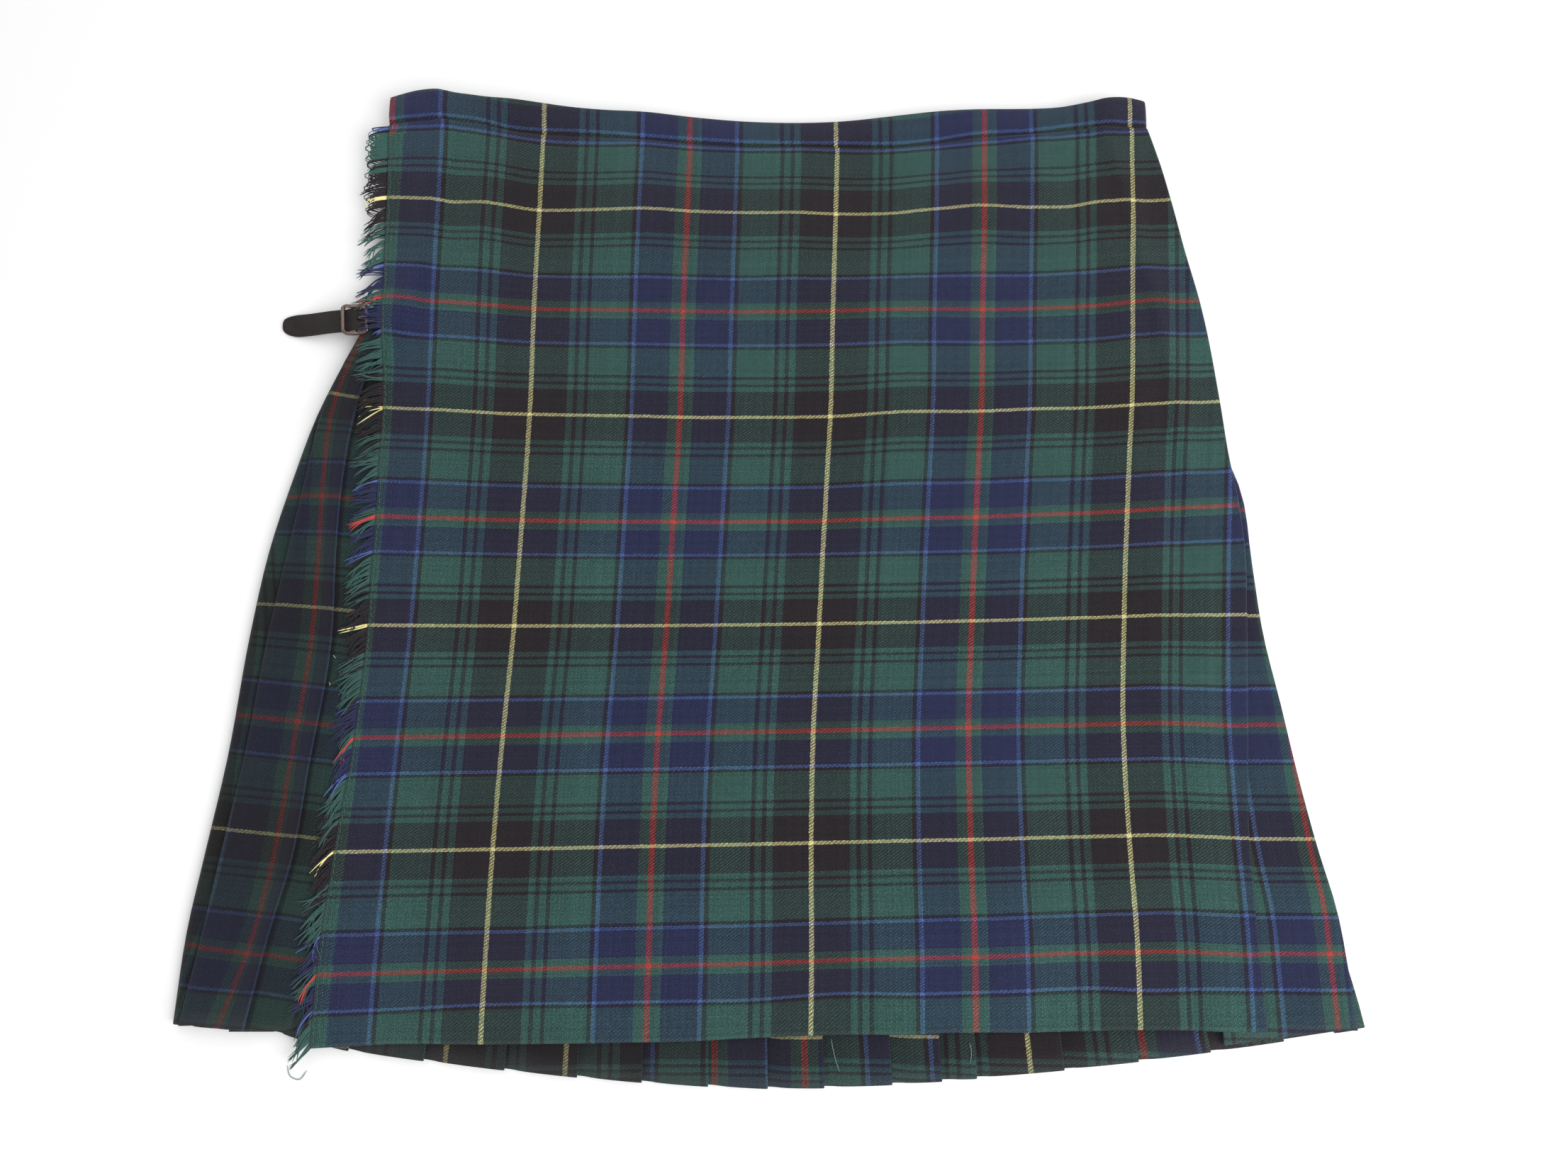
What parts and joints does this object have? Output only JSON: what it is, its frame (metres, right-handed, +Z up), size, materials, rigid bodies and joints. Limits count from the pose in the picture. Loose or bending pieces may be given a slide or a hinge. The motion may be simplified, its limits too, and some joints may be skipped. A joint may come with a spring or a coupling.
{
  "type": "scottish kilt laid flat",
  "caption": "Pleated wrap skirt of tartan wool lying flat, front up, with a fringed over apron, a pleated back, a self waistband and a small hip strap in its buckle.",
  "frame": {"origin": "middle of the kilt's bounding box on the surface it lies on", "axes": "+X across the kilt to the viewer's right, +Y from hem to waist, +Z up from the surface"},
  "size_m": [0.7266, 0.6438, 0.0179],
  "materials": {
    "tartan_front": "matt wool twill, green, navy and black tartan with yellow, light blue and red lines",
    "tartan_inner": "matt wool twill of the same tartan",
    "tartan_back": "matt wool twill of the same tartan, pressed into pleats",
    "tartan_band": "matt wool twill of the same tartan, cut as a narrow strip",
    "wool_fringe": "loose wool yarns in the tartan's colours",
    "strap_leather": "dark brown, lightly worn",
    "buckle_metal": "nickel plate, softly polished"
  },
  "bodies": {
    "root": {"over_apron": "tartan_front", "under_apron": "tartan_inner", "pleated_back": "tartan_back", "waistband": "tartan_band", "apron_fringe": "wool_fringe", "strap": "strap_leather", "buckle_frame": "buckle_metal", "buckle_pin": "buckle_metal", "buckle_prong": "buckle_metal"}
  },
  "joints": []
}
